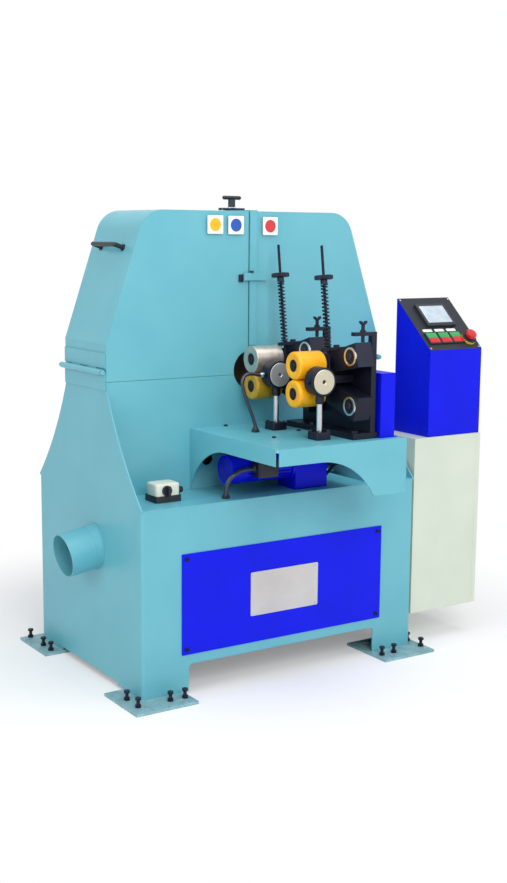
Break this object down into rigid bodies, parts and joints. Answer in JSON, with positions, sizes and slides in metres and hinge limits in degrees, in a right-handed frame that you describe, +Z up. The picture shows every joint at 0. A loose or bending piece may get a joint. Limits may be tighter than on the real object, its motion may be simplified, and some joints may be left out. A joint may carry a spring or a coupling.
{
  "type": "tube and bar deburring machine",
  "caption": "Floor-standing deburring machine: base cabinet, clamshell hood round a turning brush head, roller feed on a bent table, control cabinet and console.",
  "frame": {"origin": "centre of the four anchor holes, on the floor", "axes": "+X to the operator console's side, +Y from the feed side to the back, +Z up"},
  "size_m": [1.5922, 1.123, 1.6483],
  "materials": {
    "teal_paint": "light blue-green gloss enamel",
    "blue_paint": "strong blue gloss enamel",
    "cabinet_paint": "pebble grey powder coat",
    "black_steel": "black oxide steel",
    "bright_steel": "turned and ground steel",
    "chrome_roller": "hard chromed sleeve",
    "polyurethane": "amber cast polyurethane sleeve",
    "black_plastic": "moulded black plastic",
    "cream_plastic": "moulded cream plastic",
    "green_plastic": "moulded green plastic",
    "red_plastic": "moulded red plastic",
    "black_rubber": "extruded black rubber",
    "spring_steel": "oiled spring steel",
    "cast_grey": "grey cast iron",
    "abrasive": "bonded abrasive flaps"
  },
  "bodies": {
    "frame": {"foot_plates": "black_steel", "jack_screws": "black_steel", "end_walls": "teal_paint", "side_plates": "teal_paint", "ledge_plates": "teal_paint", "neck_walls": "teal_paint", "access_panel": "blue_paint", "panel_screws": "black_steel", "dust_spigot": "teal_paint", "fixed_hinge_leaves": "teal_paint", "feed_table": "teal_paint", "feed_base": "black_steel", "arm_carriers": "black_steel", "tension_rods": "black_steel", "front_spring": "spring_steel", "rear_spring": "spring_steel", "stop_brackets": "black_steel", "drive_guard": "blue_paint", "guide_stands": "bright_steel", "air_lead": "black_rubber", "feed_gearmotor": "blue_paint", "motor_cable": "black_rubber", "isolator_box": "cream_plastic", "cabinet_box": "cabinet_paint", "console_box": "blue_paint", "head_housing": "cast_grey", "main_motor": "cast_grey", "drive_chain": "black_steel", "drive_belts": "black_rubber"},
    "left_cover": {"left_cover": "teal_paint", "pull_handle": "black_plastic"},
    "right_cover": {"right_cover": "teal_paint", "cover_latch": "teal_paint"},
    "clamp_knob": {"clamp_knob": "black_plastic"},
    "front_upper_arm": {"front_upper_arm": "black_steel"},
    "front_lower_arm": {"front_lower_arm": "black_steel"},
    "rear_upper_arm": {"rear_upper_arm": "black_steel"},
    "rear_lower_arm": {"rear_lower_arm": "black_steel"},
    "front_upper_roller": {"front_upper_roller": "polyurethane"},
    "front_lower_roller": {"front_lower_roller": "polyurethane"},
    "rear_upper_roller": {"rear_upper_roller": "chrome_roller"},
    "rear_lower_roller": {"rear_lower_roller": "polyurethane"},
    "front_nut": {"front_nut": "black_steel"},
    "rear_nut": {"rear_nut": "black_steel"},
    "front_wing_screw": {"front_wing_screw": "black_steel"},
    "rear_wing_screw": {"rear_wing_screw": "black_steel"},
    "front_guide": {"front_guide": "black_steel"},
    "rear_guide": {"rear_guide": "black_steel"},
    "isolator_knob": {"isolator_knob": "black_plastic"},
    "cabinet_door": {"cabinet_door": "cabinet_paint"},
    "start_button_1": {"start_button_1": "green_plastic"},
    "stop_button_1": {"stop_button_1": "red_plastic"},
    "start_button_2": {"start_button_2": "green_plastic"},
    "stop_button_2": {"stop_button_2": "red_plastic"},
    "start_button_3": {"start_button_3": "green_plastic"},
    "stop_button_3": {"stop_button_3": "red_plastic"},
    "estop_head": {"estop_head": "red_plastic"},
    "brush_rotor": {"brush_rotor": "abrasive"},
    "motor_pulley": {"motor_pulley": "bright_steel"},
    "feed_sprocket": {"feed_sprocket": "bright_steel"}
  },
  "joints": [
    {"name": "left_cover_hinge", "type": "hinge", "parent": "frame", "child": "left_cover", "pos_m": [-0.5775, 0, 1.061], "axis": [0, -1, 0], "range_deg": [0, 100]},
    {"name": "right_cover_hinge", "type": "hinge", "parent": "frame", "child": "right_cover", "pos_m": [0.5775, 0, 1.061], "axis": [0, 1, 0], "range_deg": [0, 100]},
    {"name": "clamp_knob_turn", "type": "hinge", "parent": "right_cover", "child": "clamp_knob", "pos_m": [0.043, 0.04, 1.6], "axis": [0, 0, 1], "range_deg": [0, 360]},
    {"name": "front_upper_arm_lift", "type": "hinge", "parent": "frame", "child": "front_upper_arm", "pos_m": [0.1165, -0.626, 1.123], "axis": [1, 0, 0], "range_deg": [0, 12], "stiffness_Nm_per_rad": 118, "springref_deg": -14.73, "deforming": ["front_spring"]},
    {"name": "front_lower_arm_drop", "type": "hinge", "parent": "frame", "child": "front_lower_arm", "pos_m": [0.1165, -0.626, 0.961], "axis": [1, 0, 0], "range_deg": [-12, 0]},
    {"name": "rear_upper_arm_lift", "type": "hinge", "parent": "frame", "child": "rear_upper_arm", "pos_m": [0.1165, -0.373, 1.123], "axis": [1, 0, 0], "range_deg": [0, 12], "stiffness_Nm_per_rad": 118, "springref_deg": -14.73, "deforming": ["rear_spring"]},
    {"name": "rear_lower_arm_drop", "type": "hinge", "parent": "frame", "child": "rear_lower_arm", "pos_m": [0.1165, -0.373, 0.961], "axis": [1, 0, 0], "range_deg": [-12, 0]},
    {"name": "front_nut_turn", "type": "hinge", "parent": "frame", "child": "front_nut", "pos_m": [0.071, -0.53285, 1.042], "axis": [0, 0.1357, 0.9907], "range_deg": [0, 360]},
    {"name": "front_wing_screw_turn", "type": "hinge", "parent": "frame", "child": "front_wing_screw", "pos_m": [0.1204, -0.64, 1.2], "axis": [0, 0, 1], "range_deg": [0, 360]},
    {"name": "front_upper_roller_spin", "type": "hinge", "parent": "front_upper_arm", "child": "front_upper_roller", "pos_m": [0, -0.496, 1.0885], "axis": [1, 0, 0], "continuous": true},
    {"name": "front_lower_roller_spin", "type": "hinge", "parent": "front_lower_arm", "child": "front_lower_roller", "pos_m": [0, -0.496, 0.9955], "axis": [1, 0, 0], "continuous": true},
    {"name": "front_guide_height", "type": "slide", "parent": "frame", "child": "front_guide", "axis": [0, 0, 1], "range_m": [-0.01, 0.01]},
    {"name": "rear_nut_turn", "type": "hinge", "parent": "frame", "child": "rear_nut", "pos_m": [0.071, -0.27985, 1.042], "axis": [0, 0.1357, 0.9907], "range_deg": [0, 360]},
    {"name": "rear_wing_screw_turn", "type": "hinge", "parent": "frame", "child": "rear_wing_screw", "pos_m": [0.1204, -0.387, 1.2], "axis": [0, 0, 1], "range_deg": [0, 360]},
    {"name": "rear_upper_roller_spin", "type": "hinge", "parent": "rear_upper_arm", "child": "rear_upper_roller", "pos_m": [0, -0.243, 1.0885], "axis": [1, 0, 0], "continuous": true},
    {"name": "rear_lower_roller_spin", "type": "hinge", "parent": "rear_lower_arm", "child": "rear_lower_roller", "pos_m": [0, -0.243, 0.9955], "axis": [1, 0, 0], "continuous": true},
    {"name": "rear_guide_height", "type": "slide", "parent": "frame", "child": "rear_guide", "axis": [0, 0, 1], "range_m": [-0.01, 0.01], "deforming": ["air_lead"]},
    {"name": "isolator_knob_turn", "type": "hinge", "parent": "frame", "child": "isolator_knob", "pos_m": [-0.42268, -0.311, 0.67768], "axis": [0, -1, 0], "range_deg": [0, 90]},
    {"name": "cabinet_door_hinge", "type": "hinge", "parent": "frame", "child": "cabinet_door", "pos_m": [0.8845, 0.225, 0.45], "axis": [0, 0, 1], "range_deg": [0, 110]},
    {"name": "start_button_1_press", "type": "slide", "parent": "frame", "child": "start_button_1", "axis": [0, 0.673, -0.7396], "range_m": [0, 0.004], "stiffness_N_per_m": 400, "springref_m": -0.002},
    {"name": "stop_button_1_press", "type": "slide", "parent": "frame", "child": "stop_button_1", "axis": [0, 0.673, -0.7396], "range_m": [0, 0.004], "stiffness_N_per_m": 400, "springref_m": -0.002},
    {"name": "start_button_2_press", "type": "slide", "parent": "frame", "child": "start_button_2", "axis": [0, 0.673, -0.7396], "range_m": [0, 0.004], "stiffness_N_per_m": 400, "springref_m": -0.002},
    {"name": "stop_button_2_press", "type": "slide", "parent": "frame", "child": "stop_button_2", "axis": [0, 0.673, -0.7396], "range_m": [0, 0.004], "stiffness_N_per_m": 400, "springref_m": -0.002},
    {"name": "start_button_3_press", "type": "slide", "parent": "frame", "child": "start_button_3", "axis": [0, 0.673, -0.7396], "range_m": [0, 0.004], "stiffness_N_per_m": 400, "springref_m": -0.002},
    {"name": "stop_button_3_press", "type": "slide", "parent": "frame", "child": "stop_button_3", "axis": [0, 0.673, -0.7396], "range_m": [0, 0.004], "stiffness_N_per_m": 400, "springref_m": -0.002},
    {"name": "estop_press", "type": "slide", "parent": "frame", "child": "estop_head", "axis": [0, 0.673, -0.7396], "range_m": [0, 0.006], "stiffness_N_per_m": 600, "springref_m": -0.003},
    {"name": "brush_head_spin", "type": "hinge", "parent": "frame", "child": "brush_rotor", "pos_m": [0, 0, 1.042], "axis": [0, 1, 0], "continuous": true},
    {"name": "motor_pulley_spin", "type": "hinge", "parent": "frame", "child": "motor_pulley", "pos_m": [0, 0.125, 0.33], "axis": [0, 1, 0], "continuous": true},
    {"name": "feed_sprocket_spin", "type": "hinge", "parent": "frame", "child": "feed_sprocket", "pos_m": [0.2135, -0.3, 0.69], "axis": [1, 0, 0], "continuous": true}
  ],
  "couplings": [
    {"joint": "motor_pulley_spin", "follows": "brush_head_spin", "ratio": 1.75},
    {"joint": "front_lower_arm_drop", "follows": "front_upper_arm_lift", "ratio": -1},
    {"joint": "rear_lower_arm_drop", "follows": "rear_upper_arm_lift", "ratio": -1},
    {"joint": "rear_lower_roller_spin", "follows": "rear_upper_roller_spin", "ratio": -1},
    {"joint": "front_upper_roller_spin", "follows": "rear_upper_roller_spin", "ratio": 1},
    {"joint": "front_lower_roller_spin", "follows": "rear_upper_roller_spin", "ratio": -1},
    {"joint": "feed_sprocket_spin", "follows": "rear_upper_roller_spin", "ratio": -1}
  ]
}
